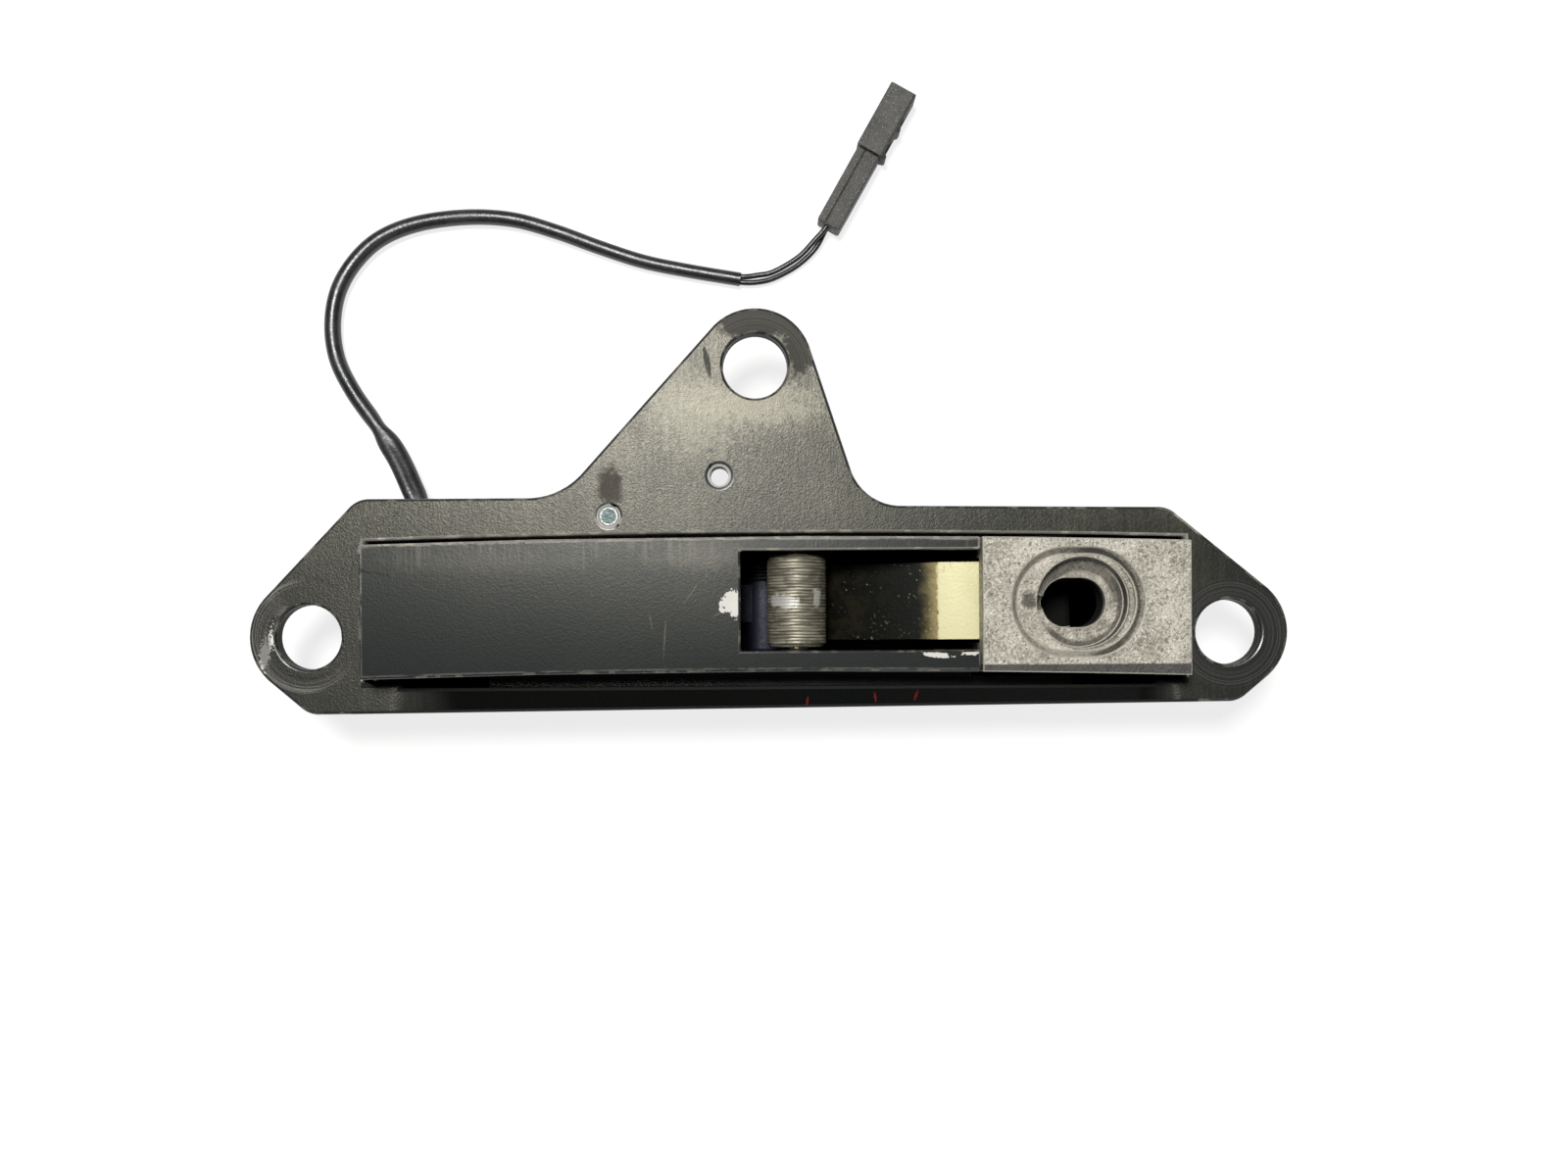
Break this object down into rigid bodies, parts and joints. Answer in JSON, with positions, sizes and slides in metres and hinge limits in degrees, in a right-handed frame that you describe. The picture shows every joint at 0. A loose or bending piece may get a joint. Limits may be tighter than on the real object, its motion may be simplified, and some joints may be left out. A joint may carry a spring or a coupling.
{
  "type": "electric door strike",
  "caption": "Electric door strike with a three-eyed plate, a bar with a sprung roller keeper and ejector flap, a socketed end block, an inner solenoid, a cable and a plug.",
  "frame": {"origin": "centre of the bottom of the strike without its cable: the outer face of the rear cover", "axes": "+X from the bar end towards the end block, +Y towards the top eye, +Z out of the mounting plate's face, the side the door's latch comes from"},
  "size_m": [0.209, 0.1345, 0.032],
  "materials": {
    "plate_coating": "black epoxy coating worn to olive grey, satin",
    "bar_coating": "black epoxy coating over a casting, satin",
    "zinc_sheet": "zinc plated sheet steel",
    "screw_steel": "zinc plated",
    "blasted_steel": "bead blasted, light warm grey",
    "dark_screw_steel": "black oxide",
    "locked_screw_end": "bright ring with teal thread-locking paint",
    "bobbin_plastic": "moulded nylon",
    "enamelled_copper": "enamelled copper wire",
    "coil_tape": "polyester tape",
    "core_steel": "turned soft iron, nickel plated",
    "tinned_brass": "tinned",
    "lead_insulation": "extruded insulation",
    "pin_steel": "ground",
    "spring_steel": "drawn wire",
    "black_rubber": "moulded",
    "sleeve_plastic": "satin extruded sleeve",
    "wire_insulation": "extruded insulation",
    "connector_plastic": "moulded nylon, satin",
    "keeper_steel": "sintered steel, oiled",
    "washer_brass": "stamped",
    "roller_steel": "turned, worn dark",
    "rod_brass": "turned",
    "clip_steel": "phosphated spring steel",
    "yellow_zinc": "steel strip with yellow passivated zinc"
  },
  "bodies": {
    "strike_body": {"mounting_plate": "plate_coating", "housing": "bar_coating", "rear_cover": "zinc_sheet", "cover_screws": "screw_steel", "end_block": "blasted_steel", "block_screws": "dark_screw_steel", "plate_screws": "screw_steel", "locked_screw": "locked_screw_end", "solenoid_frame": "zinc_sheet", "coil_bobbin": "bobbin_plastic", "coil_winding": "enamelled_copper", "coil_tape": "coil_tape", "fixed_core": "core_steel", "solenoid_screws": "screw_steel", "solder_tags": "tinned_brass", "inner_leads": "lead_insulation", "keeper_pin": "pin_steel", "keeper_spring": "spring_steel", "stop_buffer": "black_rubber", "pawl_pin": "pin_steel", "pawl_spring": "spring_steel", "return_spring": "spring_steel", "ejector_pin": "pin_steel", "ejector_spring": "spring_steel", "cable_grommet": "black_rubber", "cable_sleeve": "sleeve_plastic", "wire_a": "wire_insulation", "wire_b": "wire_insulation", "connector_plug": "connector_plastic", "connector_shroud": "connector_plastic", "contact_pins": "tinned_brass"},
    "keeper": {"keeper_lever": "keeper_steel", "roller_pin": "pin_steel", "roller_washers": "washer_brass"},
    "roller": {"roller": "roller_steel"},
    "pawl": {"pawl": "keeper_steel"},
    "plunger": {"armature": "core_steel", "push_rod": "rod_brass", "rod_clip": "clip_steel"},
    "ejector": {"ejector_flap": "yellow_zinc"}
  },
  "joints": [
    {"name": "keeper_swing", "type": "hinge", "parent": "strike_body", "child": "keeper", "pos_m": [-0.001, -0.01851, 0.008], "axis": [0, -1, 0], "range_deg": [0, 16], "stiffness_Nm_per_rad": 0.06, "springref_deg": -20.05, "deforming": ["keeper_spring"]},
    {"name": "roller_spin", "type": "hinge", "parent": "keeper", "child": "roller", "pos_m": [0.0057, -0.01851, 0.0235], "axis": [0, 1, 0], "continuous": true},
    {"name": "plunger_slide", "type": "slide", "parent": "strike_body", "child": "plunger", "axis": [1, 0, 0], "range_m": [0, 0.003], "stiffness_N_per_m": 200, "springref_m": -0.006, "deforming": ["return_spring"]},
    {"name": "pawl_pivot", "type": "hinge", "parent": "strike_body", "child": "pawl", "pos_m": [-0.0215, -0.01851, 0.004], "axis": [0, 1, 0], "range_deg": [0, 15.54], "stiffness_Nm_per_rad": 0.002, "springref_deg": -22.92, "deforming": ["pawl_spring"]},
    {"name": "ejector_swing", "type": "hinge", "parent": "strike_body", "child": "ejector", "pos_m": [0.0465, -0.01851, 0.0235], "axis": [0, -1, 0], "range_deg": [0, 9], "stiffness_Nm_per_rad": 0.03, "springref_deg": -17.19, "deforming": ["ejector_spring"]}
  ],
  "couplings": [
    {"joint": "pawl_pivot", "follows": "plunger_slide", "rad_per_m": 90.35}
  ]
}
